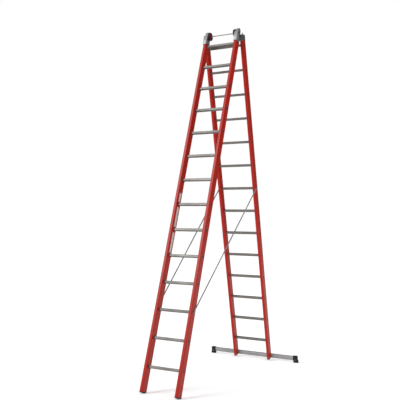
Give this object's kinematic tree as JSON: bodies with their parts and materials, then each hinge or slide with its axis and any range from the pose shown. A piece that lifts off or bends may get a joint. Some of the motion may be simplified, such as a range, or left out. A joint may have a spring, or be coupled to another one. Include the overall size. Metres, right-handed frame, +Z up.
{
  "type": "combination extension ladder",
  "caption": "Two-section fibreglass combination ladder, open as an A-frame, with top wheels, a stabiliser bar and webbing straps; folds flat and slides out as an extension ladder.",
  "frame": {"origin": "middle of the open ladder's footprint, on the ground", "axes": "+X across the ladder, -Y towards the foot of the front section (the one with the wheels), +Y towards the stabiliser bar, +Z up"},
  "size_m": [1.192, 2.4154, 3.9234],
  "materials": {
    "front_fibreglass": "satin red fibreglass",
    "rear_fibreglass": "satin red fibreglass",
    "rung_aluminium": "extruded, mill finish",
    "bar_aluminium": "extruded, anodised",
    "head_casting": "cast, tumbled",
    "hinge_casting": "cast, dark",
    "zinc_steel": "zinc plated",
    "rubber": "matt",
    "tyre_rubber": "matt",
    "hub_plastic": "moulded",
    "plug_plastic": "moulded",
    "webbing": "woven grey webbing"
  },
  "bodies": {
    "rear_section": {"rear_stile_left": "rear_fibreglass", "rear_stile_right": "rear_fibreglass", "rear_rung_01": "rung_aluminium", "rear_rung_02": "rung_aluminium", "rear_rung_03": "rung_aluminium", "rear_rung_04": "rung_aluminium", "rear_rung_05": "rung_aluminium", "rear_rung_06": "rung_aluminium", "rear_rung_07": "rung_aluminium", "rear_rung_08": "rung_aluminium", "rear_rung_09": "rung_aluminium", "rear_rung_10": "rung_aluminium", "rear_rung_11": "rung_aluminium", "rear_rung_12": "rung_aluminium", "rear_rung_13": "rung_aluminium", "rear_rung_14": "rung_aluminium", "rear_rung_plugs": "plug_plastic", "rear_stile_plugs": "plug_plastic", "rear_head_left": "hinge_casting", "rear_head_right": "hinge_casting", "hinge_pins": "zinc_steel", "stabiliser_bar": "bar_aluminium", "stabiliser_foot_left": "rubber", "stabiliser_foot_right": "rubber", "stabiliser_bolts": "zinc_steel", "rear_strap_anchors": "zinc_steel", "strap_left": "webbing", "strap_right": "webbing"},
    "guide_heads": {"guide_head_left": "head_casting", "guide_head_right": "head_casting"},
    "front_section": {"front_stile_left": "front_fibreglass", "front_stile_right": "front_fibreglass", "front_rung_01": "rung_aluminium", "front_rung_02": "rung_aluminium", "front_rung_03": "rung_aluminium", "front_rung_04": "rung_aluminium", "front_rung_05": "rung_aluminium", "front_rung_06": "rung_aluminium", "front_rung_07": "rung_aluminium", "front_rung_08": "rung_aluminium", "front_rung_09": "rung_aluminium", "front_rung_10": "rung_aluminium", "front_rung_11": "rung_aluminium", "front_rung_12": "rung_aluminium", "front_rung_13": "rung_aluminium", "front_rung_14": "rung_aluminium", "front_rung_plugs": "plug_plastic", "front_foot_left": "rubber", "front_foot_right": "rubber", "front_head_left": "head_casting", "front_head_right": "head_casting", "axle_rod": "zinc_steel", "axle_nuts": "zinc_steel", "front_strap_anchors": "zinc_steel"},
    "wheel_left": {"tyre_left": "tyre_rubber", "wheel_hub_left": "hub_plastic"},
    "wheel_right": {"tyre_right": "tyre_rubber", "wheel_hub_right": "hub_plastic"},
    "latch_left": {"latch_left": "zinc_steel"},
    "latch_right": {"latch_right": "zinc_steel"}
  },
  "joints": [
    {"name": "spread", "type": "hinge", "parent": "rear_section", "child": "guide_heads", "pos_m": [0, -0.00291, 3.798], "axis": [1, 0, 0], "range_deg": [0, 33], "deforming": ["strap_left", "strap_right"]},
    {"name": "extension", "type": "slide", "parent": "guide_heads", "child": "front_section", "axis": [0, 0.284, 0.9588], "range_m": [0, 2.8]},
    {"name": "wheel_left_spin", "type": "hinge", "parent": "front_section", "child": "wheel_left", "pos_m": [-0.158, -0.02334, 3.86705], "axis": [1, 0, 0], "continuous": true},
    {"name": "wheel_right_spin", "type": "hinge", "parent": "front_section", "child": "wheel_right", "pos_m": [0.158, -0.02334, 3.86705], "axis": [1, 0, 0], "continuous": true},
    {"name": "latch_left_tilt", "type": "hinge", "parent": "rear_section", "child": "latch_left", "pos_m": [-0.229, 0.02615, 3.8379], "axis": [1, 0, 0], "range_deg": [0, 20], "stiffness_Nm_per_rad": 0.5, "springref_deg": -5.73},
    {"name": "latch_right_tilt", "type": "hinge", "parent": "rear_section", "child": "latch_right", "pos_m": [0.229, 0.02615, 3.8379], "axis": [1, 0, 0], "range_deg": [0, 20], "stiffness_Nm_per_rad": 0.5, "springref_deg": -5.73}
  ]
}
